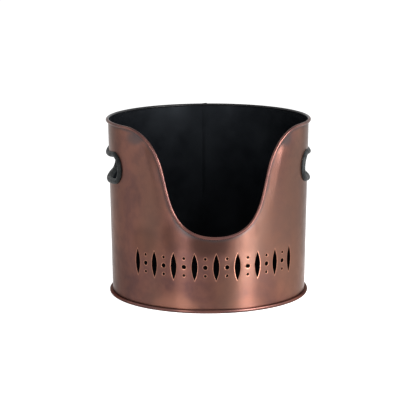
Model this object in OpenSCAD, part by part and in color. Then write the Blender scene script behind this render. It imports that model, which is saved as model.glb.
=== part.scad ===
// Kindling bucket: a tapered sheet metal bucket with a deep U mouth at the front.
// The whole top edge is curled outwards over a wire, the wall laps at the back,
// the base is double seamed to the foot, and each hand hole has a black grip ring.
// The front is at -Y, the ground is z = 0, and the axis of the bucket is Z.

/* [Wall] */
// Outside diameter of the wall at the rim
top_d = 300; // [280:1:330]
// Outside diameter of the wall at the foot
foot_d = 291; // [275:1:310]
// Height from the ground to the top of the rolled rim
height = 264.5; // [252:0.5:300]
// Thickness of the wall sheet
sheet_t = 0.8; // [0.6:0.05:1]

/* [Rolled rim] */
// Diameter of the wire inside the rim
wire_d = 3; // [2.4:0.1:4]
// Radial play between the wire and the curled sheet
wire_play = 0.05; // [0.04:0.01:0.15]
// How far the bead is set in over the edge of the wall
rim_set_in = 0.7; // [0.3:0.05:0.9]
// Gap between the curl's free edge and the wall
rim_gap = 0.4; // [0.2:0.05:0.6]
// Gap between the two ends of the wire, at the back
wire_gap = 1; // [0.5:0.5:6]

/* [Mouth] */
// Depth of the U below the rim, between the centres of the bead
mouth_depth = 152; // [130:0.5:160]
// Half width of the U where its flanks are straight, measured round the wall
mouth_half_w = 83; // [70:0.5:90]
// Depth of that straight place below the rim
flank_depth = 51.5; // [44:0.5:60]
// Lean of the flanks away from upright, in degrees
flank_lean = 18.5; // [14:0.1:20]
// Pull of the flat bottom of the U on its curve
bowl_pull = 71.5; // [60:0.5:76]
// Pull of the flank on that curve
flank_pull = 38; // [30:0.5:50]
// Half width of the U where it meets the level rim, measured round the wall
mouth_reach = 152; // [140:0.5:165]
// Length over which the shoulder eases into the level rim
shoulder_ease = 14; // [6:0.5:20]

/* [Back seam] */
// Width of the lap of the two ends of the wall sheet
lap_w = 10; // [6:0.5:14]
// Middle of the lap, to the right of the middle of the back, seen from the front
lap_at = 4; // [-10:0.5:12]

/* [Base] */
// Thickness of the base plate
base_t = 0.8; // [0.6:0.05:1]
// Height of the plate above the ground
base_recess = 7; // [6:0.5:14]
// Height of the seam round the foot
seam_h = 5.3; // [5:0.1:6]
// How far the seam stands out from the wall
seam_out = 4.7; // [4.3:0.05:5.5]
// Bend radius of the plate inside the seam
seam_bend_r = 1.9; // [1.6:0.05:2]
// Bend radius between the plate and its upright edge
plate_bend_r = 2; // [1.5:0.1:4]
// Play between the layers of the seam
seam_play = 0.15; // [0.1:0.01:0.18]

/* [Hand holes] */
// Depth of the middle of each hand hole below the centre of the rim
hole_drop = 68.5; // [58:0.5:90]
// Half length of the hole's centre line between its two round ends
hole_half_l = 48.5; // [35:0.5:56]
// Half height of the hole cut in the wall
hole_half_h = 20.5; // [17:0.5:26]
// Radius of the curved centre line of the hole, which turns up at its ends
hole_arc_r = 300; // [180:5:600]

/* [Grip rings] */
// Width of the ring's section along the wall
grip_w = 8.2; // [7.6:0.1:10]
// Thickness of the ring's section through the wall
grip_t = 9.6; // [7:0.2:11]
// Depth of the groove that holds the edge of the hole
grip_groove = 3.6; // [2.5:0.1:3.8]
// Play between the groove and the wall sheet
grip_play = 0.1; // [0.05:0.01:0.2]

/* [Pierced band] */
// Height of the middle of the band above the ground
band_z = 67.5; // [50:0.5:72]
// Number of leaf openings
leaf_count = 9; // [5:2:11]
// Distance between leaves, measured round the wall
leaf_pitch = 32; // [26:0.5:34]
// Height of a leaf opening
leaf_h = 40; // [28:0.5:44]
// Width of a leaf opening
leaf_w = 9.5; // [6:0.25:12]
// Diameter of the large dot between two leaves
dot_d = 7; // [4:0.25:9]
// Diameter of the small dots above and below it
small_dot_d = 4.5; // [3:0.25:6]
// Distance from the large dot to each small one
dot_rise = 12.5; // [9:0.5:16]

/* [Hidden] */
$fn = 180;
copper = [0.50, 0.31, 0.25];
steel = [0.62, 0.63, 0.65];
black = [0.13, 0.13, 0.14];

// The wall's middle surface is a cone
top_r = top_d / 2;
taper = (top_d - foot_d) / 2 / height;
function mid_r(z) = foot_d / 2 - sheet_t / 2 + taper * z;

// Cutting bodies pass through the wall between these two radii
cut_over = 3;
cut_in_r = min(top_d, foot_d) / 2 - sheet_t - cut_over;
cut_out_r = max(top_d, foot_d) / 2 + cut_over;

// The curl of the rim, in section: x points outwards and y towards the free edge
curl_in_r = wire_d / 2 + wire_play;
curl_out_r = curl_in_r + sheet_t;
curl_mid_r = curl_in_r + sheet_t / 2;
bead_off = curl_mid_r - rim_set_in;
curl_start = 180 + acos(bead_off / curl_mid_r);
curl_end = -acos((sheet_t / 2 + rim_gap - bead_off) / curl_out_r);
curl_steps = 14;
function curl_arc(r, trim = 0) = let (from = curl_start - trim, to = curl_end + trim)
    [for (i = [0:curl_steps]) let (a = from + (to - from) * i / curl_steps) [r * cos(a), r * sin(a)]];
function backwards(list) = [for (i = [len(list) - 1:-1:0]) list[i]];
function curl(r_in, r_out, trim = 0) = concat(curl_arc(r_out, trim), backwards(curl_arc(r_in, trim)));
curl_section = curl(curl_in_r, curl_out_r);

// The level rim is a hair slimmer than the U's, and its ends run a little way into it
hair = 0.02;
rim_join = 0.5;
level_curl = curl(curl_in_r + hair, curl_out_r - hair, 1);

// The bead's centre on the level rim, and the sheet's edge, which runs a little into the curl
rim_z = height - curl_out_r;
edge_off = curl_mid_r * sin(curl_start);
wall_top = rim_z + edge_off;

// The U of the mouth as two Bezier curves, in distance round the wall and height
flank_dir = [sin(flank_lean), cos(flank_lean)];
low_point = [0, rim_z - mouth_depth];
flank_point = [mouth_half_w, rim_z - flank_depth];
reach_point = [mouth_reach, rim_z];
bowl_curve = [low_point, low_point + [bowl_pull, 0], flank_point - flank_pull * flank_dir, flank_point];
shoulder_curve = [flank_point, flank_point + flank_depth / cos(flank_lean) * flank_dir,
                  reach_point - [shoulder_ease, 0], reach_point];
bowl_steps = 20;
shoulder_steps = 18;
function bezier(p, t) = pow(1 - t, 3) * p[0] + 3 * pow(1 - t, 2) * t * p[1]
    + 3 * (1 - t) * t * t * p[2] + pow(t, 3) * p[3];
function bezier_run(p, t) = pow(1 - t, 2) * (p[1] - p[0]) + 2 * (1 - t) * t * (p[2] - p[1])
    + t * t * (p[3] - p[2]);
function unit(v) = v / norm(v);
function step_at(p, t) = [bezier(p, t), unit(bezier_run(p, t))];
mouth_right = concat([for (i = [0:bowl_steps]) step_at(bowl_curve, i / bowl_steps)],
                     [for (i = [1:shoulder_steps]) step_at(shoulder_curve, i / shoulder_steps)]);
mouth_left = [for (i = [len(mouth_right) - 1:-1:1])
    let (m = mouth_right[i]) [[-m[0][0], m[0][1]], [m[1][0], -m[1][1]]]];
mouth_path = concat(mouth_left, mouth_right);
reach_deg = (mouth_reach - rim_join) / top_r * 180 / PI;

// A distance round the wall as an angle from the front, and the unit vectors there
function turn(s) = s / top_r * 180 / PI;
function outward(a) = [sin(a), -cos(a), 0];
function sideways(a) = [cos(a), sin(a), 0];

// A section placed square to the mouth's path, around the centre of the bead
function mouth_ring(m, section) = let (
    a = turn(m[0][0]),
    z = m[0][1],
    centre = (mid_r(z) + bead_off) * outward(a) + [0, 0, z],
    to_edge = -m[1][1] * sideways(a) + [0, 0, m[1][0]])
    [for (q = section) centre + q[0] * outward(a) + q[1] * to_edge];

// The hand hole's outline as a curved slot, each point with its outward direction
hole_z = rim_z - hole_drop;
slot_turn = hole_half_l / hole_arc_r * 180 / PI;
slot_end = [hole_arc_r * sin(slot_turn), hole_arc_r * (1 - cos(slot_turn))];
long_steps = 10;
end_steps = 10;
function slot(b) = concat(
    [for (i = [0:long_steps]) let (q = slot_turn * (2 * i / long_steps - 1), d = [sin(q), -cos(q)])
        [[0, hole_arc_r] + (hole_arc_r + b) * d, d]],
    [for (i = [1:end_steps]) let (q = slot_turn - 90 + 180 * i / end_steps, d = [cos(q), sin(q)])
        [slot_end + b * d, d]],
    [for (i = [1:long_steps]) let (q = slot_turn * (1 - 2 * i / long_steps), d = [sin(q), -cos(q)])
        [[0, hole_arc_r] + (hole_arc_r - b) * d, -d]],
    [for (i = [1:end_steps - 1]) let (q = 90 - slot_turn + 180 * i / end_steps, d = [cos(q), sin(q)])
        [[-slot_end[0], slot_end[1]] + b * d, d]]);

// The seam of the foot: the plate's bends run concentric with the wall's hook
foot_r = foot_d / 2;
plate_edge_r = foot_r - sheet_t - seam_play - base_t / 2;
layer = base_t / 2 + seam_play + sheet_t / 2;
bend_centre = [plate_edge_r + seam_bend_r, base_t / 2 + seam_bend_r];
round_r = (seam_h - base_t) / 2;
round_centre = [foot_r + seam_out - seam_h / 2, seam_h / 2];
bend_steps = 6;
round_steps = 14;
hook_end = 60;
lip_end = foot_r + taper * seam_h + 2 * seam_play;

// Centre lines of sheet in section: points, each with the unit vector to the left of its way
function bend(centre, r, from, to, steps) = [for (i = [0:steps])
    let (a = from + (to - from) * i / steps, d = [cos(a), sin(a)]) [centre + r * d, sign(from - to) * d]];
function on_wall(z) = [[mid_r(z), z], unit([1, -taper])];

// A strip of sheet around such a line, for a revolved profile
function strip(line, t) = concat(
    [for (p = line) p[0] + p[1] * t / 2],
    [for (i = [len(line) - 1:-1:0]) line[i][0] - line[i][1] * t / 2]);

wall_line = concat(
    [on_wall(wall_top), on_wall(seam_h)],
    bend(bend_centre, seam_bend_r - layer, 180, 270, bend_steps),
    bend(round_centre, round_r - layer, -90, hook_end, round_steps));
plate_top = base_recess + base_t / 2;
plate_line = concat(
    [[[0, plate_top], [0, 1]]],
    bend([plate_edge_r - plate_bend_r, plate_top - plate_bend_r], plate_bend_r, 90, 0, bend_steps),
    bend(bend_centre, seam_bend_r, 180, 270, bend_steps),
    bend(round_centre, round_r, -90, 90, round_steps),
    [[[lip_end, seam_h - base_t / 2], [0, -1]]]);

// A closed skin over equal rings of points; looped joins the last ring to the first
module skin(rings, looped) {
    n = len(rings);
    k = len(rings[0]);
    points = [for (r = rings) each r];
    last = looped ? n - 1 : n - 2;
    sides = [for (i = [0:last], j = [0:k - 1])
        let (a = i * k, b = (i + 1) % n * k, j2 = (j + 1) % k)
        each [[a + j, b + j, b + j2], [a + j, b + j2, a + j2]]];
    half = k / 2;
    far = (n - 1) * k;
    caps = looped ? [] : [for (j = [0:half - 2])
        each [[j, j + 1, k - 2 - j, k - 1 - j],
              [far + k - 1 - j, far + k - 2 - j, far + j + 1, far + j]]];
    polyhedron(points = points, faces = concat(sides, caps), convexity = 10);
}

// The part of the level rim behind the mouth, from one end of the U round to the other
module level_rim(section, from = reach_deg, to = 360 - reach_deg) {
    rotate([0, 0, from - 90])
        rotate_extrude(angle = to - from)
            translate([mid_r(rim_z) + bead_off, rim_z])
                polygon(section);
}

// What the mouth takes out of the wall, down to the line where the curl begins.
// It leaves out the last steps at both ends, where it would only graze the top of the wall.
module mouth_cut() {
    over = height + cut_over;
    grazing = 2;
    last = len(mouth_path) - 1;
    skin([for (i = [grazing:last - grazing])
        let (m = mouth_path[i], q = m[0] + edge_off * [-m[1][1], m[1][0]])
        [for (p = [[cut_in_r, q[1]], [cut_in_r, over], [cut_out_r, over], [cut_out_r, q[1]]])
            p[0] * outward(turn(q[0])) + [0, 0, p[1]]]], false);
}

// A hand hole's prism through the wall on the +X side, b being half its height
module hole_prism(b) {
    rotate([90, 0, 90])
        linear_extrude(height = cut_out_r)
            polygon([for (p = slot(b)) let (z = hole_z + p[0][1]) [mid_r(z) * sin(turn(p[0][0])), z]]);
}

module leaf() {
    r = (leaf_h * leaf_h + leaf_w * leaf_w) / (4 * leaf_w);
    shift = r - leaf_w / 2;
    intersection() {
        translate([-shift, 0]) circle(r = r);
        translate([shift, 0]) circle(r = r);
    }
}

module dots() {
    circle(d = dot_d, $fn = 48);
    for (side = [-1, 1])
        translate([0, side * dot_rise]) circle(d = small_dot_d, $fn = 36);
}

// A flat figure cut through the front wall at a distance s round it
module pierce(s) {
    rotate([0, 0, turn(s)])
        translate([0, 0, band_z])
            rotate([90, 0, 0])
                translate([0, 0, cut_in_r])
                    linear_extrude(height = cut_out_r - cut_in_r)
                        children();
}

module pierced_band() {
    first = -(leaf_count - 1) / 2;
    for (i = [0:leaf_count - 1]) pierce((first + i) * leaf_pitch) leaf();
    for (i = [0:leaf_count - 2]) pierce((first + i + 0.5) * leaf_pitch) dots();
}

// The second layer of sheet at the lap, inside the wall and over the bead
module lap() {
    bite = sheet_t / 4;
    low = base_recess + base_t + seam_play;
    back = 180;
    from = back - turn(lap_at + lap_w / 2);
    rotate([0, 0, from - 90])
        rotate_extrude(angle = turn(lap_w))
            polygon([[mid_r(low) - sheet_t * 1.5, low], [mid_r(low) - sheet_t / 2 + bite, low],
                     [mid_r(wall_top) - sheet_t / 2 + bite, wall_top],
                     [mid_r(wall_top) - sheet_t * 1.5, wall_top]]);
    thicker = curl(curl_out_r - bite, curl_out_r + sheet_t);
    level_rim(thicker, from, from + turn(lap_w));
}

module body_wall() {
    color(copper) {
        difference() {
            rotate_extrude() polygon(strip(wall_line, sheet_t));
            mouth_cut();
            for (side = [0, 1]) mirror([side, 0, 0]) hole_prism(hole_half_h);
            pierced_band();
        }
        level_rim(level_curl);
        skin([for (m = mouth_path) mouth_ring(m, curl_section)], false);
        lap();
    }
}

module rim_wire() {
    sides = 10;
    ring = [for (i = [0:sides - 1]) let (q = -360 * i / sides) [cos(q), sin(q)]];
    gap_deg = turn(wire_gap / 2);
    color(steel) {
        level_rim((wire_d / 2 - hair) * ring, reach_deg, 180 - gap_deg);
        level_rim((wire_d / 2 - hair) * ring, 180 + gap_deg, 360 - reach_deg);
        skin([for (m = mouth_path) mouth_ring(m, wire_d / 2 * ring)], false);
    }
}

module base_plate() {
    color(copper) rotate_extrude() polygon(strip(plate_line, base_t));
}

// The ring on the +X side: an oval section round the hole, grooved for the edge of the wall
module hand_grip() {
    sides = 16;
    path = slot(hole_half_h - grip_play - grip_w / 2 + grip_groove);
    rings = [for (p = path) let (
        a = 90 + turn(p[0][0]),
        z = hole_z + p[0][1],
        centre = mid_r(z) * outward(a) + [0, 0, z],
        away = p[1][0] * sideways(a) + [0, 0, p[1][1]])
        [for (i = [0:sides - 1]) let (q = 360 * i / sides)
            centre + grip_t / 2 * cos(q) * outward(a) + grip_w / 2 * sin(q) * away]];
    reach = hole_half_h + grip_w;
    color(black) difference() {
        skin(rings, true);
        difference() {
            rotate_extrude()
                polygon(strip([on_wall(hole_z + reach), on_wall(hole_z - reach)],
                              sheet_t + 2 * grip_play));
            hole_prism(hole_half_h - grip_play);
        }
    }
}

module hand_grip_right() { hand_grip(); }
module hand_grip_left() { mirror([1, 0, 0]) hand_grip(); }

body_wall();
rim_wire();
base_plate();
hand_grip_left();
hand_grip_right();
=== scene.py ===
"""Looks of a copper kindling bucket with a U mouth, a rolled rim and black hand grips.

Lengths are in metres. The front is at -Y, the ground is z = 0 and the bucket's axis is Z.
"""
import math

import bmesh
import bpy
from mathutils import Matrix, Vector
from mathutils.kdtree import KDTree


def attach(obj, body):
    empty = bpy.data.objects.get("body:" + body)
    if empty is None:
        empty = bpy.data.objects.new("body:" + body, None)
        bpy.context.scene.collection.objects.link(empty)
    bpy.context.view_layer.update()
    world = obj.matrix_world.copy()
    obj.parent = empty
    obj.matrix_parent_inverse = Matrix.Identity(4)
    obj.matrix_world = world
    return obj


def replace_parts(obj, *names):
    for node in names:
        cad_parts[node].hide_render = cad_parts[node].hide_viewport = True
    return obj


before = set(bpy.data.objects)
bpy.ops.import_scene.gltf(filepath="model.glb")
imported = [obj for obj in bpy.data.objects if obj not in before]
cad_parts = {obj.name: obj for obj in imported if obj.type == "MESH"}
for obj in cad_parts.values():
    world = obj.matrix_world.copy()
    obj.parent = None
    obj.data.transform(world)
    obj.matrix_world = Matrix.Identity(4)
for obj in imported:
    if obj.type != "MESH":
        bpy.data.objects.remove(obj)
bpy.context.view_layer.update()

MM = 0.001
# Points that are nearer than this are welded
WELD = 0.001 * MM

# Wall: outside radii at the rim and the foot, height of the rolled rim, sheet thickness
TOP_R = 150 * MM
FOOT_R = 145.5 * MM
HEIGHT = 264.5 * MM
SHEET = 0.8 * MM
TAPER = (TOP_R - FOOT_R) / HEIGHT
# Half the length of the flat sheet, from the middle of the front to the middle of the back
HALF_TURN = math.pi * TOP_R

# Rolled rim: the sheet curls round a wire, set in over the wall's edge, and stops short of the wall
CURL_IN_R = 1.55 * MM
CURL_OUT_R = CURL_IN_R + SHEET
CURL_MID_R = CURL_IN_R + SHEET / 2
RIM_SET_IN = 0.7 * MM
RIM_GAP = 0.4 * MM
BEAD_OFF = CURL_MID_R - RIM_SET_IN
CURL_START = math.pi + math.acos(BEAD_OFF / CURL_MID_R)
CURL_END = -math.acos((SHEET / 2 + RIM_GAP - BEAD_OFF) / CURL_OUT_R)
RIM_Z = HEIGHT - CURL_OUT_R
EDGE_DROP = -CURL_MID_R * math.sin(CURL_START)

# Mouth: the U in distance round the wall and height
MOUTH_DEPTH = 152 * MM
MOUTH_HALF_W = 83 * MM
FLANK_DEPTH = 51.5 * MM
FLANK_LEAN = math.radians(18.5)
BOWL_PULL = 71.5 * MM
FLANK_PULL = 38 * MM
MOUTH_REACH = 152 * MM
SHOULDER_EASE = 14 * MM

# Seam round the foot
SEAM_H = 5.3 * MM
SEAM_OUT = 4.7 * MM
SEAM_BEND_R = 1.9 * MM
SEAM_PLAY = 0.15 * MM
PLATE_BEND_R = 2 * MM
PLATE_Z = 7.4 * MM

# Hand holes and their grip rings
HOLE_Z = RIM_Z - 68.5 * MM
HOLE_HALF_L = 48.5 * MM
HOLE_HALF_H = 20.5 * MM
HOLE_ARC_R = 300 * MM
GRIP_W = 8.2 * MM
GRIP_T = 9.6 * MM
GRIP_GROOVE = 3.6 * MM
GRIP_PLAY = 0.1 * MM

# Pierced band of leaves and dots
BAND_Z = 67.5 * MM
LEAF_COUNT = 9
LEAF_PITCH = 32 * MM
LEAF_H = 40 * MM
LEAF_W = 9.5 * MM
DOT_R = 3.5 * MM
SMALL_DOT_R = 2.25 * MM
DOT_RISE = 12.5 * MM

# Lap of the sheet's two ends at the back: it starts softly and ends in a step
LAP_AT = 4 * MM
LAP_W = 10 * MM
LAP_EASE = 9 * MM

# The sheet swells a little beside the mouth, where rolling the edge pulled it in: its height at
# the bowl and at the shoulders, over what distance from the edge it rises and falls, and where
# round the wall it fades and over what distance
SWELL_LOW = 0.15 * MM
SWELL_HIGH = 3.5 * MM
SWELL_RISE = 19 * MM
SWELL_FALL = 55 * MM
SWELL_TO = 0.62 * MOUTH_REACH
SWELL_FADE = 0.4 * MOUTH_REACH

# Narrow strips of the sheet that follow the rolled edge and the cuts: distances of their far sides
RIM_STRIPS = (0.8 * MM, 2 * MM, 4 * MM, 7 * MM, 11 * MM, 16 * MM)
CUT_STRIPS = (0.5 * MM, 1.4 * MM)
# How far the punch pulled the sheet in at a cut, and how wide a border it pulled
CUT_ROLL = 0.12 * MM
CUT_ROLL_W = 0.4 * MM
# The greatest distance from the rolled edge or a cut that is noted
FAR = 70 * MM


def mid_r(z):
    """Radius of the middle of the wall sheet."""
    return FOOT_R - SHEET / 2 + TAPER * z


def outward(a):
    """Unit vector straight out of the bucket, at an angle from the front."""
    return Vector((math.sin(a), -math.cos(a), 0))


def sideways(a):
    """Unit vector along the wall, to the right of the outward one."""
    return Vector((math.cos(a), math.sin(a), 0))


def rolled(s, z, out):
    """A point of the flat sheet, lifted off it by out, once it is rolled up into the wall."""
    a = s / TOP_R
    return (mid_r(z) + out) * outward(a) + Vector((0, 0, z))


def smooth_step(x):
    """Goes softly from 0 to 1 while x does, and stays there."""
    x = min(max(x, 0), 1)
    return x * x * (3 - 2 * x)


def swell(s, z, distance):
    """How far the sheet stands out at this distance from its rolled edge."""
    rise = smooth_step(distance / SWELL_RISE)
    fall = smooth_step((distance - SWELL_RISE) / SWELL_FALL)
    share = rise * (1 - fall)
    up = smooth_step((z - RIM_Z + MOUTH_DEPTH) / MOUTH_DEPTH)
    in_mouth = 1 - smooth_step((abs(s) - SWELL_TO) / SWELL_FADE)
    return (SWELL_LOW + (SWELL_HIGH - SWELL_LOW) * up) * share * in_mouth


# The rim's line on the flat sheet

def bezier(p, t):
    u = 1 - t
    return u**3 * p[0] + 3 * u * u * t * p[1] + 3 * u * t * t * p[2] + t**3 * p[3]


def bezier_run(p, t):
    """The direction in which the curve runs, at any length."""
    u = 1 - t
    return u * u * (p[1] - p[0]) + 2 * u * t * (p[2] - p[1]) + t * t * (p[3] - p[2])


def mouth_half():
    """The right half of the mouth: points and unit directions, from its bottom to the rim."""
    lean = Vector((math.sin(FLANK_LEAN), math.cos(FLANK_LEAN)))
    low = Vector((0, RIM_Z - MOUTH_DEPTH))
    flank = Vector((MOUTH_HALF_W, RIM_Z - FLANK_DEPTH))
    reach = Vector((MOUTH_REACH, RIM_Z))
    bowl = [low, low + Vector((BOWL_PULL, 0)), flank - FLANK_PULL * lean, flank]
    shoulder = [flank, flank + FLANK_DEPTH / math.cos(FLANK_LEAN) * lean,
                reach - Vector((SHOULDER_EASE, 0)), reach]
    bowl_steps, shoulder_steps = 48, 44
    line = [(bowl, i / bowl_steps) for i in range(bowl_steps + 1)]
    line += [(shoulder, i / shoulder_steps) for i in range(1, shoulder_steps + 1)]
    return [(bezier(p, t), bezier_run(p, t).normalized()) for p, t in line]


def rim_line():
    """The whole rim from the middle of the back, round the left, the mouth and the right."""
    right = mouth_half()
    left = [(Vector((-p.x, p.y)), Vector((d.x, -d.y))) for p, d in reversed(right[1:])]
    steps = 60
    level = [MOUTH_REACH + (HALF_TURN - MOUTH_REACH) * i / steps for i in range(1, steps + 1)]
    ahead = Vector((1, 0))
    return ([(Vector((-s, RIM_Z)), ahead) for s in reversed(level)] + left + right
            + [(Vector((s, RIM_Z)), ahead) for s in level])


# Mesh helpers

# Faces that meet at more than this show a sharp edge
SHARP_ANGLE = math.radians(35)


def chain(bm, points, closed=False):
    """A row of vertices in the flat, joined by edges."""
    verts = [bm.verts.new((p[0], p[1], 0)) for p in points]
    pairs = list(zip(verts, verts[1:])) + ([(verts[-1], verts[0])] if closed else [])
    return verts, [bm.edges.new(pair) for pair in pairs]


def extrude_chain(bm, edges):
    """Extrudes a chain of edges in place and returns the new vertices and edges."""
    made = bmesh.ops.extrude_edge_only(bm, edges=edges)["geom"]
    verts = [g for g in made if isinstance(g, bmesh.types.BMVert)]
    fresh = set(verts)
    edges = [g for g in made if isinstance(g, bmesh.types.BMEdge) and fresh.issuperset(g.verts)]
    return verts, edges


def sweep(bm, sections, frames):
    """Carries a closed section through a row of frames, and fills its ends if they don't meet.

    Returns the layer that holds each vertex's place in the section.
    """
    place = bm.verts.layers.int.new("place")
    verts, edges = chain(bm, sections[0], closed=True)
    for i, v in enumerate(verts):
        v[place] = i
    ends = list(edges)
    for section, f in zip(sections, frames):
        for v in verts:
            v.co = f @ Vector((*section[v[place]], 0))
        if f is not frames[-1]:
            verts, edges = extrude_chain(bm, edges)
    if (frames[0].translation - frames[-1].translation).length > MM:
        bmesh.ops.edgeloop_fill(bm, edges=ends)
        bmesh.ops.edgeloop_fill(bm, edges=edges)
    bmesh.ops.remove_doubles(bm, verts=bm.verts, dist=WELD)
    bmesh.ops.recalc_face_normals(bm, faces=bm.faces)
    return place


def section_frame(centre, x_axis, y_axis):
    """The matrix that puts a flat section at a centre, with its axes along these two."""
    z_axis = x_axis.cross(y_axis)
    turn = Matrix((x_axis, y_axis, z_axis)).transposed().to_4x4()
    return Matrix.Translation(centre) @ turn


def add_object(name, data):
    made = bpy.data.objects.new(name, data)
    bpy.context.scene.collection.objects.link(made)
    return made


def add_mesh(bm, name, materials):
    mesh = bpy.data.meshes.new(name)
    bm.to_mesh(mesh)
    bm.free()
    for m in materials:
        mesh.materials.append(m)
    return add_object(name, mesh)


def finished(bm, name, materials, thick=None):
    """Turns a bmesh into a finished piece on the root body, and gives a sheet its thickness.

    A sheet has three materials: for the side its faces point to, for its back and for its edges.
    """
    piece = add_mesh(bm, name, materials)
    if thick:
        skin = piece.modifiers.new("sheet thickness", "SOLIDIFY")
        skin.thickness = thick
        skin.offset = 0
        skin.use_even_offset = True
        skin.material_offset = 1
        skin.material_offset_rim = 2
        graph = bpy.context.evaluated_depsgraph_get()
        thin = piece.data
        piece.data = bpy.data.meshes.new_from_object(piece.evaluated_get(graph))
        piece.modifiers.clear()
        bpy.data.meshes.remove(thin)
        piece.data.name = name
    piece.data.shade_smooth()
    piece.data.set_sharp_from_angle(angle=SHARP_ANGLE)
    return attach(piece, "root")


# Materials

DARK_PATINA = (0.06, 0.028, 0.026)
BROWN_COPPER = (0.095, 0.042, 0.034)
WARM_COPPER = (0.15, 0.062, 0.041)
OLIVE_COPPER = (0.088, 0.05, 0.036)
# Painted highlight: the colour of the lighter spots at the foot
PAINTED_HIGHLIGHT_COPPER = (0.2, 0.088, 0.06)
RUBBED_COPPER = (0.4, 0.18, 0.12)
# Grey patina, also used as painted shade in the crease under the rolled edge
GREY_PATINA_AND_SHADE = (0.036, 0.031, 0.032)
# Painted shade, partly darker patina: the colour of the dark spots
SHADE_AND_SMUDGE = (0.036, 0.016, 0.012)
JOINT = (0.012, 0.008, 0.008)
BLACK_LOW = (0.0015, 0.0018, 0.0024)
BLACK_HIGH = (0.0026, 0.003, 0.0038)
GRIP_LOW = (0.002, 0.0026, 0.003)
GRIP_HIGH = (0.01, 0.0115, 0.012)
STEEL_LOW = (0.4, 0.41, 0.42)
STEEL_HIGH = (0.6, 0.61, 0.62)

# Tints of what the surfaces mirror at a grazing angle
WALL_TINT = (0.6, 0.56, 0.54)
FOOT_TINT = (0.4, 0.34, 0.31)
RIM_TINT = (0.75, 0.7, 0.68)
LINING_TINT = (0.78, 0.88, 1)

# Spots on the wall, each with its centre, its reach and its depth: dark ones, partly darker patina and
# partly painted shade under the mouth's rolled edge and over the lamps' highlight where it came out
# too bright;
# grey ones beside the rolled edge, patina with painted shade; and lighter ones near the foot, painted
# highlights where the lamps' streaks run down to it
DARK_AND_SHADE_SPOTS = [((-0.012, -0.147, 0.104), (0.048, 0.04, 0.03), 0.85),
              ((0.002, -0.147, 0.04), (0.032, 0.04, 0.05), 0.35),
              ((-0.06, -0.134, 0.108), (0.026, 0.03, 0.036), 0.6),
              ((-0.102, -0.105, 0.1), (0.03, 0.04, 0.034), 0.35),
              ((0.044, -0.14, 0.105), (0.018, 0.03, 0.026), 0.5),
              ((0.03, -0.144, 0.066), (0.014, 0.03, 0.016), 0.5),
              ((0.054, -0.137, 0.123), (0.015, 0.03, 0.02), 0.65)]
RIM_SHADE_AND_PATINA_SPOTS = [((-0.114, -0.096, 0.248), (0.024, 0.024, 0.013), 0.65),
              ((0.102, -0.11, 0.248), (0.022, 0.024, 0.017), 0.75),
              ((-0.048, -0.139, 0.131), (0.014, 0.03, 0.018), 0.7),
              ((-0.036, -0.143, 0.12), (0.022, 0.03, 0.015), 0.85)]
FOOT_HIGHLIGHT_SPOTS = [((-0.058, -0.135, 0), (0.062, 0.05, 0.036), 0.65),
               ((0.046, -0.139, 0), (0.045, 0.05, 0.03), 0.35)]


def material(name, metallic, roughness, coat=0.0, coat_roughness=0.2, specular=0.5, tint=(1, 1, 1)):
    """A material with its node tree and its shader, set to values that are the same all over."""
    mat = bpy.data.materials.new(name)
    mat.use_nodes = True
    tree = mat.node_tree
    shader = tree.nodes["Principled BSDF"]
    shader.inputs["Metallic"].default_value = metallic
    shader.inputs["Roughness"].default_value = roughness
    shader.inputs["Coat Weight"].default_value = coat
    shader.inputs["Coat Roughness"].default_value = coat_roughness
    shader.inputs["Specular IOR Level"].default_value = specular
    shader.inputs["Specular Tint"].default_value = (*tint, 1)
    return mat, tree, shader


def brushed(tree, shader, amount):
    """Draws reflections out upright, as on sheet that was brushed round the wall."""
    up = tree.nodes.new("ShaderNodeCombineXYZ")
    up.inputs["Z"].default_value = 1
    tree.links.new(up.outputs["Vector"], shader.inputs["Tangent"])
    shader.inputs["Anisotropic"].default_value = amount


def noise(tree, scale, detail=2.0, rough=0.5, stretch=(1, 1, 1)):
    """Noise on object coordinates. Its scale is in blotches per metre."""
    place = tree.nodes.new("ShaderNodeTexCoord")
    mapping = tree.nodes.new("ShaderNodeMapping")
    mapping.inputs["Scale"].default_value = stretch
    tree.links.new(place.outputs["Object"], mapping.inputs["Vector"])
    node = tree.nodes.new("ShaderNodeTexNoise")
    node.inputs["Scale"].default_value = scale
    node.inputs["Detail"].default_value = detail
    node.inputs["Roughness"].default_value = rough
    tree.links.new(mapping.outputs["Vector"], node.inputs["Vector"])
    return node.outputs["Fac"]


def ramp(tree, value, stops):
    """Colours for a value, from stops of a value and a colour."""
    node = tree.nodes.new("ShaderNodeValToRGB")
    node.color_ramp.interpolation = "EASE"
    marks = node.color_ramp.elements
    while len(marks) < len(stops):
        marks.new(0.5)
    for mark, (at, colour) in zip(marks, stops):
        mark.position = at
        mark.color = (*colour, 1)
    tree.links.new(value, node.inputs["Fac"])
    return node.outputs["Color"]


def spread(tree, value, low, high, to_low, to_high):
    """Maps a value from one range to another, clamped, with soft ends."""
    node = tree.nodes.new("ShaderNodeMapRange")
    node.interpolation_type = "SMOOTHSTEP"
    for name, v in zip(("From Min", "From Max", "To Min", "To Max"), (low, high, to_low, to_high)):
        node.inputs[name].default_value = v
    tree.links.new(value, node.inputs["Value"])
    return node.outputs["Result"]


def mix(tree, factor, a, b):
    """Mixes two colours. The factor and the colours are sockets or plain values."""
    node = tree.nodes.new("ShaderNodeMix")
    node.data_type = "RGBA"
    sockets = [s for s in node.inputs if s.enabled]
    for socket, value in zip(sockets, (factor, a, b)):
        if isinstance(value, bpy.types.NodeSocket):
            tree.links.new(value, socket)
        elif isinstance(value, (int, float)):
            socket.default_value = value
        else:
            socket.default_value = (*value, 1)
    return [s for s in node.outputs if s.enabled][0]


def attribute(tree, name):
    node = tree.nodes.new("ShaderNodeAttribute")
    node.attribute_name = name
    return node.outputs["Fac"]


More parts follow.
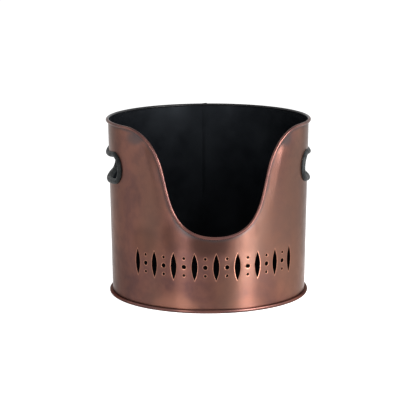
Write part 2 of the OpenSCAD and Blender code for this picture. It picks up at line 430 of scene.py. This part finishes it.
def uneven(tree, value, scale, reach):
    """A value with noise of this reach added, for an uneven border."""
    total = tree.nodes.new("ShaderNodeMath")
    total.operation = "MULTIPLY_ADD"
    total.inputs[1].default_value = reach
    tree.links.new(noise(tree, scale), total.inputs[0])
    tree.links.new(value, total.inputs[2])
    return total.outputs[0]


def wavy(tree, name, scale, reach):
    """An attribute in metres, made uneven."""
    return uneven(tree, attribute(tree, name), scale, reach)


def spot(tree, centre, reach):
    """1 at the middle of an oval spot and 0 outside it, with an uneven border."""
    place = tree.nodes.new("ShaderNodeTexCoord")
    offset = tree.nodes.new("ShaderNodeVectorMath")
    offset.operation = "SUBTRACT"
    offset.inputs[1].default_value = centre
    share = tree.nodes.new("ShaderNodeVectorMath")
    share.operation = "DIVIDE"
    share.inputs[1].default_value = reach
    length = tree.nodes.new("ShaderNodeVectorMath")
    length.operation = "LENGTH"
    tree.links.new(place.outputs["Object"], offset.inputs[0])
    tree.links.new(offset.outputs["Vector"], share.inputs[0])
    tree.links.new(share.outputs["Vector"], length.inputs[0])
    return spread(tree, uneven(tree, length.outputs["Value"], 30, 0.6), 0.5, 1.4, 1, 0)


def bump(tree, shader, height, strength, distance):
    """Roughens a surface by a height, over a distance in metres."""
    node = tree.nodes.new("ShaderNodeBump")
    node.inputs["Strength"].default_value = strength
    node.inputs["Distance"].default_value = distance
    tree.links.new(height, node.inputs["Height"])
    tree.links.new(node.outputs["Normal"], shader.inputs["Normal"])


def antique_copper(name):
    """Dark antique copper, for the wall sheet with its rim, cut and seam attributes, with spots of
    painted shade and painted highlight.
    """
    mat, tree, shader = material(name, 0.96, 0.34, coat=0.05, coat_roughness=0.3, tint=WALL_TINT)
    brushed(tree, shader, 0.75)
    clouds = noise(tree, 11, stretch=(1, 1, 0.7))
    colour = ramp(tree, clouds, [(0.3, DARK_PATINA), (0.5, BROWN_COPPER), (0.7, WARM_COPPER)])
    mottle = noise(tree, 55, 4, 0.55)
    colour = mix(tree, 0.25, colour, ramp(tree, mottle, [(0.35, DARK_PATINA), (0.65, WARM_COPPER)]))
    haze = spread(tree, noise(tree, 7, stretch=(1, 1, 0.5)), 0.45, 0.65, 0, 0.6)
    colour = mix(tree, haze, colour, OLIVE_COPPER)
    # Dark spots are partly painted shade, grey ones painted shade with patina, light ones painted
    # highlights
    for spots, tone in ((DARK_AND_SHADE_SPOTS, SHADE_AND_SMUDGE), (RIM_SHADE_AND_PATINA_SPOTS, GREY_PATINA_AND_SHADE), (FOOT_HIGHLIGHT_SPOTS, PAINTED_HIGHLIGHT_COPPER)):
        for centre, reach, depth in spots:
            share = spread(tree, spot(tree, centre, reach), 0, 1, 0, depth)
            colour = mix(tree, share, colour, tone)
    # Greyer beside the rolled edge: patina, and painted shade of the crease under the bead
    rim_patina_and_shade = spread(tree, wavy(tree, "rim", 60, 6 * MM), 3.5 * MM, 9.5 * MM, 0.75, 0)
    colour = mix(tree, rim_patina_and_shade, colour, GREY_PATINA_AND_SHADE)
    by_cut = spread(tree, attribute(tree, "cut"), 0.1 * MM, 1 * MM, 0.6, 0)
    colour = mix(tree, by_cut, colour, RUBBED_COPPER)
    by_seam = spread(tree, wavy(tree, "seam", 90, 0.2 * MM), 0.1 * MM, 0.5 * MM, 0.85, 0)
    colour = mix(tree, by_seam, colour, JOINT)
    tree.links.new(colour, shader.inputs["Base Color"])
    tree.links.new(spread(tree, mottle, 0.3, 0.7, 0.38, 0.3), shader.inputs["Roughness"])
    bump(tree, shader, noise(tree, 240, 4, 0.6), 0.08, 0.4 * MM)
    return mat


def rubbed_copper(name, lined, tint):
    """Copper that hands have rubbed. Over a lined one the black paint runs to its border."""
    mat, tree, shader = material(name, 0.95, 0.31, coat=0.06, coat_roughness=0.3, specular=0.15,
                                 tint=tint)
    wear = noise(tree, 45, 3)
    colour = ramp(tree, wear, [(0.3, DARK_PATINA), (0.7, BROWN_COPPER)])
    rough = spread(tree, wear, 0.3, 0.7, 0.36, 0.28)
    if lined:
        paint = spread(tree, wavy(tree, "lining", 90, 0.8 * MM), 0.2 * MM, 0.6 * MM, 0, 1)
        colour = mix(tree, paint, colour, BLACK_HIGH)
        tree.links.new(spread(tree, paint, 0, 1, 0.95, 0), shader.inputs["Metallic"])
    tree.links.new(colour, shader.inputs["Base Color"])
    tree.links.new(rough, shader.inputs["Roughness"])
    return mat


def cut_copper(name):
    mat, tree, shader = material(name, 1.0, 0.35)
    colour = ramp(tree, noise(tree, 300, 3), [(0.3, WARM_COPPER), (0.7, RUBBED_COPPER)])
    tree.links.new(colour, shader.inputs["Base Color"])
    return mat


def black_paint(name):
    mat, tree, shader = material(name, 0.0, 0.33, specular=0.1, tint=LINING_TINT)
    colour = ramp(tree, noise(tree, 40, 3), [(0.35, BLACK_LOW), (0.65, BLACK_HIGH)])
    tree.links.new(colour, shader.inputs["Base Color"])
    tree.links.new(spread(tree, noise(tree, 60, 4), 0.3, 0.7, 0.29, 0.38), shader.inputs["Roughness"])
    bump(tree, shader, noise(tree, 500, 3), 0.06, 0.2 * MM)
    return mat


def black_grip(name):
    mat, tree, shader = material(name, 0.0, 0.58, specular=0.15)
    colour = ramp(tree, noise(tree, 130, 3), [(0.38, GRIP_LOW), (0.68, GRIP_HIGH)])
    tree.links.new(colour, shader.inputs["Base Color"])
    tree.links.new(spread(tree, noise(tree, 150, 3), 0.3, 0.7, 0.48, 0.68), shader.inputs["Roughness"])
    bump(tree, shader, noise(tree, 500, 3), 0.12, 0.3 * MM)
    return mat


def drawn_steel(name):
    mat, tree, shader = material(name, 1.0, 0.35)
    colour = ramp(tree, noise(tree, 400, 3), [(0.3, STEEL_LOW), (0.7, STEEL_HIGH)])
    tree.links.new(colour, shader.inputs["Base Color"])
    return mat


# Wall sheet, laid out flat, pierced and then rolled up

def leaf_outline(grow):
    """A leaf as two arcs, tip to tip, grown by a margin."""
    arc_r = (LEAF_H**2 + LEAF_W**2) / (4 * LEAF_W)
    shift = arc_r - LEAF_W / 2
    r = arc_r + grow
    reach = math.acos(shift / r)
    steps = 14
    right = [(r * math.cos(q) - shift, r * math.sin(q))
             for q in (reach * (2 * i / steps - 1) for i in range(steps))]
    return right + [(-x, -y) for x, y in right]


def dot_outline(radius, rise):
    """A dot at this height in the band, as a function of the margin."""
    steps = 24
    return lambda grow: [((radius + grow) * math.cos(q), rise + (radius + grow) * math.sin(q))
                         for q in (2 * math.pi * i / steps for i in range(steps))]


def slot_outline(b):
    """The hand hole's curved slot, b from its middle line: points with their outward directions."""
    turn = HOLE_HALF_L / HOLE_ARC_R
    end = Vector((math.sin(turn), 1 - math.cos(turn))) * HOLE_ARC_R
    long_steps, end_steps = 28, 18
    line = []
    for i in range(long_steps + 1):
        q = turn * (2 * i / long_steps - 1)
        d = Vector((math.sin(q), -math.cos(q)))
        line.append((Vector((0, HOLE_ARC_R)) + (HOLE_ARC_R + b) * d, d))
    for i in range(1, end_steps + 1):
        q = turn - math.pi / 2 + math.pi * i / end_steps
        d = Vector((math.cos(q), math.sin(q)))
        line.append((end + b * d, d))
    for i in range(1, long_steps + 1):
        q = turn * (1 - 2 * i / long_steps)
        d = Vector((math.sin(q), -math.cos(q)))
        line.append((Vector((0, HOLE_ARC_R)) + (HOLE_ARC_R - b) * d, -d))
    for i in range(1, end_steps):
        q = math.pi / 2 - turn + math.pi * i / end_steps
        d = Vector((math.cos(q), math.sin(q)))
        line.append((Vector((-end.x, end.y)) + b * d, d))
    return line


def hole_with_border(bm, cut, by_hole, outline, centre):
    """A cut-out with two narrow strips of sheet round it. Returns its outer edges."""
    def placed(grow):
        return [(centre[0] + x, centre[1] + y) for x, y in outline(grow)]
    verts, edges = chain(bm, placed(0), closed=True)
    index = bm.verts.layers.int["index"]
    for i, v in enumerate(verts):
        v[by_hole] = 1
        v[index] = i
    for grow in CUT_STRIPS:
        points = placed(grow)
        verts, edges = extrude_chain(bm, edges)
        for v in verts:
            v.co = (*points[v[index]], 0)
            v[cut] = grow
    return edges


def rim_strips(bm, line):
    """The strips of sheet along the rolled edge. Returns their lowest vertices and edges."""
    index = bm.verts.layers.int["index"]
    downs = [Vector((d.y, -d.x)) for _, d in line]
    verts, edges = chain(bm, [p + EDGE_DROP * n for (p, _), n in zip(line, downs)])
    for i, v in enumerate(verts):
        v[index] = i
    for distance in RIM_STRIPS:
        verts, edges = extrude_chain(bm, edges)
        for v in verts:
            p = line[v[index]][0] + (EDGE_DROP + distance) * downs[v[index]]
            v.co = (p.x, p.y, 0)
    return verts, edges


def foot_and_ends(bm, strip):
    """The foot's edge and the two ends of the sheet, from the lowest strip's vertices down."""
    first = min(strip, key=lambda v: v.co.x)
    last = max(strip, key=lambda v: v.co.x)
    steps = 240
    foot, edges = chain(bm, [(HALF_TURN * (2 * i / steps - 1), SEAM_H) for i in range(steps + 1)])
    return edges + [bm.edges.new((first, foot[0])), bm.edges.new((last, foot[-1]))]


def pierced_band(bm, cut, by_hole):
    border = []
    leaves = [LEAF_PITCH * (i - (LEAF_COUNT - 1) / 2) for i in range(LEAF_COUNT)]
    for s in leaves:
        border += hole_with_border(bm, cut, by_hole, leaf_outline, (s, BAND_Z))
    for s in leaves[:-1]:
        for radius, rise in ((DOT_R, 0), (SMALL_DOT_R, DOT_RISE), (SMALL_DOT_R, -DOT_RISE)):
            centre = (s + LEAF_PITCH / 2, BAND_Z)
            border += hole_with_border(bm, cut, by_hole, dot_outline(radius, rise), centre)
    return border


def hand_hole(bm, side):
    points = [(side * (HALF_TURN / 2 + p.x), HOLE_Z + p.y) for p, _ in slot_outline(HOLE_HALF_H)]
    return chain(bm, points, closed=True)[1]


def cut_sheet(bm, place, normal):
    bmesh.ops.bisect_plane(bm, geom=bm.verts[:] + bm.edges[:] + bm.faces[:], dist=1e-7,
                           plane_co=place, plane_no=normal)


def cut_into_grid(bm):
    """Cuts the sheet up into rows and columns, which gives it points to bend at."""
    rows, columns = 30, 240
    for i in range(1, rows):
        cut_sheet(bm, (0, SEAM_H + (RIM_Z - SEAM_H) * i / rows, 0), (0, 1, 0))
    for i in range(1, columns):
        cut_sheet(bm, (HALF_TURN * (2 * i / columns - 1), 0, 0), (1, 0, 0))


def flat_sheet(bm):
    """The pierced sheet, laid flat. Returns its layers of distances from the rim and the cuts."""
    rim = bm.verts.layers.float.new("rim")
    cut = bm.verts.layers.float.new("cut")
    bm.verts.layers.int.new("index")
    by_hole = bm.verts.layers.int.new("by_hole")
    line = rim_line()
    strip, border = rim_strips(bm, line)
    border += foot_and_ends(bm, strip)
    border += pierced_band(bm, cut, by_hole)
    for side in (-1, 1):
        border += hand_hole(bm, side)
    for v in bm.verts:
        if not v[by_hole]:
            v[cut] = FAR
    bmesh.ops.triangle_fill(bm, edges=border, use_beauty=True, normal=(0, 0, 1))
    cut_into_grid(bm)
    near = KDTree(len(line))
    for i, (p, _) in enumerate(line):
        near.insert((p.x, p.y, 0), i)
    near.balance()
    for v in bm.verts:
        v[rim] = min(max(near.find(v.co)[2] - EDGE_DROP, 0), FAR)
    return rim, cut


def wall_sheet(copper, black, bright):
    """The wall: its pierced sheet, rolled up."""
    bm = bmesh.new()
    rim, cut = flat_sheet(bm)
    seam = bm.verts.layers.float.new("seam")
    for v in bm.verts:
        s, z = v.co.x, v.co.y
        v[seam] = HALF_TURN - abs(s)
        out = swell(s, z, v[rim])
        if v[cut] < CUT_ROLL_W:
            out -= CUT_ROLL
        v.co = rolled(s, z, out)
    bmesh.ops.remove_doubles(bm, verts=bm.verts, dist=WELD)
    bmesh.ops.recalc_face_normals(bm, faces=bm.faces)
    return finished(bm, "rolled_wall", [copper, black, bright], thick=SHEET)


# Rolled rim

# The black lining runs over the rim up to these angles, at the mouth and behind. From this
# distance round the wall, and over this one, the border shifts from the first to the second.
PAINT_AT_MOUTH = math.radians(150)
PAINT_BEHIND = math.radians(40)
PAINT_SHIFTS_AT = 0.8 * MOUTH_REACH
PAINT_SHIFT_W = 1.4 * MOUTH_REACH


def curl_angles():
    steps = 40
    return [CURL_START + (CURL_END - CURL_START) * i / steps for i in range(steps + 1)]


def curl_arc(r):
    return [(r * math.cos(a), r * math.sin(a)) for a in curl_angles()]


def rim_frame(p, d):
    """The rim's section frame: x points outwards and y towards the free edge."""
    a = p.x / TOP_R
    radius = mid_r(p.y) + BEAD_OFF
    return section_frame(radius * outward(a) + Vector((0, 0, p.y)), outward(a),
                         -d.y * sideways(a) + Vector((0, 0, d.x)))


def mark_lining(bm, place):
    """Says how far each point of the rim lies past the border of the lining's paint."""
    lining = bm.verts.layers.float.new("lining")
    angles = curl_angles() + curl_angles()[::-1]
    for v in bm.verts:
        s = abs(math.atan2(v.co.x, -v.co.y)) * TOP_R
        share = smooth_step((s - PAINT_SHIFTS_AT) / PAINT_SHIFT_W)
        border = PAINT_AT_MOUTH + (PAINT_BEHIND - PAINT_AT_MOUTH) * share
        v[lining] = (angles[v[place]] - border) * CURL_OUT_R


def rolled_rim(lined_copper):
    """The rim: the curled edge of the sheet, round the whole rim's line."""
    bm = bmesh.new()
    frames = [rim_frame(p, d) for p, d in rim_line()]
    section = curl_arc(CURL_OUT_R) + curl_arc(CURL_IN_R)[::-1]
    mark_lining(bm, sweep(bm, [section] * len(frames), frames))
    return finished(bm, "rolled_rim", [lined_copper])


def lap_shares():
    """Places across the lap, from its step to its soft end, each with its share of thickness."""
    steps = 12
    return [(i / steps, smooth_step((1 - i / steps) * LAP_W / LAP_EASE)) for i in range(steps + 1)]


def lap_place(share):
    """Distance round the wall, from the front, of a place across the lap."""
    return HALF_TURN - LAP_AT - LAP_W / 2 + LAP_W * share


def lap_on_rim(lined_copper):
    """The second layer of sheet that is rolled in with the rim at the lap."""
    bm = bmesh.new()
    sunk = 0.2 * MM
    least_share = 0.02
    frames, sections = [], []
    for place, share in lap_shares():
        frames.append(rim_frame(Vector((lap_place(place), RIM_Z)), Vector((1, 0))))
        outer_r = CURL_OUT_R + SHEET * max(share, least_share)
        sections.append(curl_arc(outer_r) + curl_arc(CURL_OUT_R - sunk)[::-1])
    mark_lining(bm, sweep(bm, sections, frames))
    return finished(bm, "rim_lap", [lined_copper])


def lap_strip(black):
    """The inner layer of the lap, from the base plate up to the rim. Its back is sunk in the wall."""
    bm = bmesh.new()
    sunk = 0.1 * MM
    inner = [(lap_place(place), sunk - SHEET / 2 - (SHEET + sunk) * share)
             for place, share in lap_shares()]
    lower, lower_edges = chain(bm, inner + [(s, 0) for s, _ in reversed(inner)], closed=True)
    upper, upper_edges = extrude_chain(bm, lower_edges)
    for verts, z in ((lower, PLATE_Z + SHEET), (upper, RIM_Z - EDGE_DROP)):
        for v in verts:
            v.co = rolled(v.co.x, z, v.co.y)
    bmesh.ops.edgeloop_fill(bm, edges=lower_edges)
    bmesh.ops.edgeloop_fill(bm, edges=upper_edges)
    bmesh.ops.recalc_face_normals(bm, faces=bm.faces)
    return finished(bm, "back_lap", [black])


# Base plate, spun, with its seam round the foot

def arc(centre, r, start, end, steps):
    """Points on an arc from a start to an end angle, in degrees."""
    angles = [math.radians(start + (end - start) * i / steps) for i in range(steps + 1)]
    return [(centre[0] + r * math.cos(a), centre[1] + r * math.sin(a)) for a in angles]


def spun(points):
    """A surface of revolution from points of a radius and a height. It faces down in the middle."""
    bm = bmesh.new()
    verts, edges = chain(bm, [(r, 0) for r, _ in points])
    for v, (r, z) in zip(verts, points):
        v.co = (r, 0, z)
    bmesh.ops.spin(bm, geom=verts + edges, axis=(0, 0, 1), cent=(0, 0, 0), angle=math.tau,
                   steps=288, use_merge=True)
    bmesh.ops.remove_doubles(bm, verts=bm.verts, dist=WELD)
    bmesh.ops.recalc_face_normals(bm, faces=bm.faces)
    bm.faces.ensure_lookup_table()
    middle = min(bm.faces, key=lambda f: f.calc_center_median().xy.length)
    if middle.normal.z > 0:
        bmesh.ops.reverse_faces(bm, faces=bm.faces)
    return bm


def base_plate(copper, black):
    """The plate, bent down and outwards to the foot and hooked up round the wall's seam."""
    edge_r = FOOT_R - SHEET - SEAM_PLAY - SHEET / 2
    round_r = (SEAM_H - SHEET) / 2
    lip_r = FOOT_R + TAPER * SEAM_H + 2 * SEAM_PLAY
    middle_rings = [(edge_r * share, PLATE_Z) for share in (0, 0.2, 0.4, 0.6, 0.8)]
    line = (middle_rings
            + arc((edge_r - PLATE_BEND_R, PLATE_Z - PLATE_BEND_R), PLATE_BEND_R, 90, 0, 8)
            + arc((edge_r + SEAM_BEND_R, SHEET / 2 + SEAM_BEND_R), SEAM_BEND_R, 180, 270, 8)
            + arc((FOOT_R + SEAM_OUT - SEAM_H / 2, SEAM_H / 2), round_r, -90, 90, 24)
            + [(lip_r, SEAM_H - SHEET / 2)])
    return finished(spun(line), "seamed_base", [copper, black, copper], thick=SHEET)


# Grip rings

def grip_section():
    """An oval with a groove for the sheet: x is out of the wall, y away from the hole's middle."""
    half_slot = SHEET / 2 + GRIP_PLAY
    start = math.acos(half_slot / (GRIP_T / 2))
    steps = 44
    sweep_angle = math.tau - (math.pi - 2 * start)
    oval = [(GRIP_T / 2 * math.cos(q), GRIP_W / 2 * math.sin(q))
            for q in (start - sweep_angle * i / steps for i in range(steps + 1))]
    floor_y = GRIP_W / 2 - GRIP_GROOVE
    return oval + [(-half_slot, floor_y), (half_slot, floor_y)]


def hand_grip(side, rubber):
    """The grip ring of the left (-1) or the right (1) hand hole."""
    bm = bmesh.new()
    line = slot_outline(HOLE_HALF_H - GRIP_PLAY - GRIP_W / 2 + GRIP_GROOVE)
    frames = []
    for p, d in line + line[:1]:
        a = side * (math.pi / 2 + p.x / TOP_R)
        z = HOLE_Z + p.y
        away = side * d.x * sideways(a) + Vector((0, 0, d.y))
        frames.append(section_frame(mid_r(z) * outward(a) + Vector((0, 0, z)), outward(a), away))
    sweep(bm, [grip_section()] * len(frames), frames)
    name = "hand_grip_right" if side > 0 else "hand_grip_left"
    ring = finished(bm, name.replace("hand_grip", "grip_ring"), [rubber])
    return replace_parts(ring, name)


# Camera, stage and light

# The focal length is in pixels of a view this wide, and the angles are in radians
VIEW_PIXELS = 416
FOCAL_PIXELS = 1673
CAMERA_AZIMUTH = math.radians(-4.3)
CAMERA_DISTANCE = 2478.7 * MM
CAMERA_HEIGHT = 619.5 * MM
CAMERA_PITCH = 0.1967
CAMERA_ROLL = -0.002
CAMERA_YAW = 0.0003

FLOOR_R = 9
FLOOR_GREY = (0.5, 0.5, 0.5)
# What the floor adds of its own to what the camera sees, and what the world lights with
FLOOR_GLOW = 0.88
WORLD_LIGHT = 0.4


def set_camera():
    data = bpy.data.cameras.new("camera")
    data.sensor_fit = "HORIZONTAL"
    data.lens = FOCAL_PIXELS * data.sensor_width / VIEW_PIXELS
    camera = add_object("camera", data)
    place = CAMERA_DISTANCE * outward(CAMERA_AZIMUTH) + Vector((0, 0, CAMERA_HEIGHT))
    camera.matrix_world = (Matrix.Translation(place)
                           @ Matrix.Rotation(CAMERA_AZIMUTH + CAMERA_YAW, 4, "Z")
                           @ Matrix.Rotation(math.pi / 2 - CAMERA_PITCH, 4, "X")
                           @ Matrix.Rotation(CAMERA_ROLL, 4, "Z"))
    bpy.context.scene.camera = camera


def when_seen(tree, unseen, seen):
    """One value for what the camera sees, also mirrored or through glass, another for the rest."""
    rays = tree.nodes.new("ShaderNodeLightPath")
    sight = rays.outputs["Is Camera Ray"]
    for name in ("Is Glossy Ray", "Is Transmission Ray"):
        either = tree.nodes.new("ShaderNodeMath")
        either.operation = "MAXIMUM"
        tree.links.new(sight, either.inputs[0])
        tree.links.new(rays.outputs[name], either.inputs[1])
        sight = either.outputs[0]
    value = tree.nodes.new("ShaderNodeMapRange")
    value.inputs["To Min"].default_value = unseen
    value.inputs["To Max"].default_value = seen
    tree.links.new(sight, value.inputs["Value"])
    return value.outputs["Result"]


def white_floor():
    bm = bmesh.new()
    bmesh.ops.create_circle(bm, cap_ends=True, segments=96, radius=FLOOR_R)
    mat, tree, shader = material("white floor", 0.0, 0.9, specular=0.0)
    shader.inputs["Base Color"].default_value = (*FLOOR_GREY, 1)
    glow = tree.nodes.new("ShaderNodeEmission")
    both = tree.nodes.new("ShaderNodeAddShader")
    glow.inputs["Color"].default_value = (1, 1, 1, 1)
    tree.links.new(when_seen(tree, 0, FLOOR_GLOW), glow.inputs["Strength"])
    tree.links.new(shader.outputs[0], both.inputs[0])
    tree.links.new(glow.outputs[0], both.inputs[1])
    tree.links.new(both.outputs[0], tree.nodes["Material Output"].inputs["Surface"])
    add_mesh(bm, "floor", [mat])


def white_world():
    world = bpy.data.worlds.new("studio")
    bpy.context.scene.world = world
    world.use_nodes = True
    tree = world.node_tree
    back = tree.nodes["Background"]
    back.inputs["Color"].default_value = (1, 1, 1, 1)
    tree.links.new(when_seen(tree, WORLD_LIGHT, 1), back.inputs["Strength"])


def softbox(name, azimuth, height, distance, size, power):
    """A soft rectangular lamp that faces the bucket, at an azimuth in degrees from the front."""
    data = bpy.data.lights.new(name, "AREA")
    data.shape = "RECTANGLE"
    data.size, data.size_y = size
    data.energy = power
    lamp = add_object(name, data)
    place = distance * outward(math.radians(azimuth)) + Vector((0, 0, height))
    aim = Vector((0, 0, HEIGHT / 2)) - place
    lamp.matrix_world = Matrix.Translation(place) @ aim.to_track_quat("-Z", "Y").to_matrix().to_4x4()


set_camera()
white_floor()
white_world()
softbox("key strip", 37, 0.3, 0.7, (0.19, 0.6), 11)
softbox("flank strip", 61, 0.5, 0.75, (0.13, 0.5), 6.6)
softbox("left strip", -31, 0.3, 0.8, (0.2, 0.6), 3.5)
softbox("right softbox", 100, 0.5, 1.3, (1.2, 0.96), 7.5)
softbox("left softbox", -90, 0.5, 1.3, (1.3, 0.96), 6)
softbox("top softbox", 0, 2.6, 0.6, (1.6, 1.2), 12)
bpy.context.scene.view_settings.view_transform = "Standard"

copper = antique_copper("antique copper")
worn = rubbed_copper("rubbed copper", lined=False, tint=FOOT_TINT)
worn_rim = rubbed_copper("rubbed copper rim", lined=True, tint=RIM_TINT)
black = black_paint("black lining")
bright = cut_copper("cut copper edge")
rubber = black_grip("black grip")

wall = wall_sheet(copper, black, bright)
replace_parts(wall, "body_wall")
rolled_rim(worn_rim)
lap_on_rim(worn_rim)
lap_strip(black)
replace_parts(base_plate(worn, black), "base_plate")
for side in (-1, 1):
    hand_grip(side, rubber)

wire_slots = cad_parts["rim_wire"].data.materials
wire_slots.clear()
wire_slots.append(drawn_steel("drawn steel"))
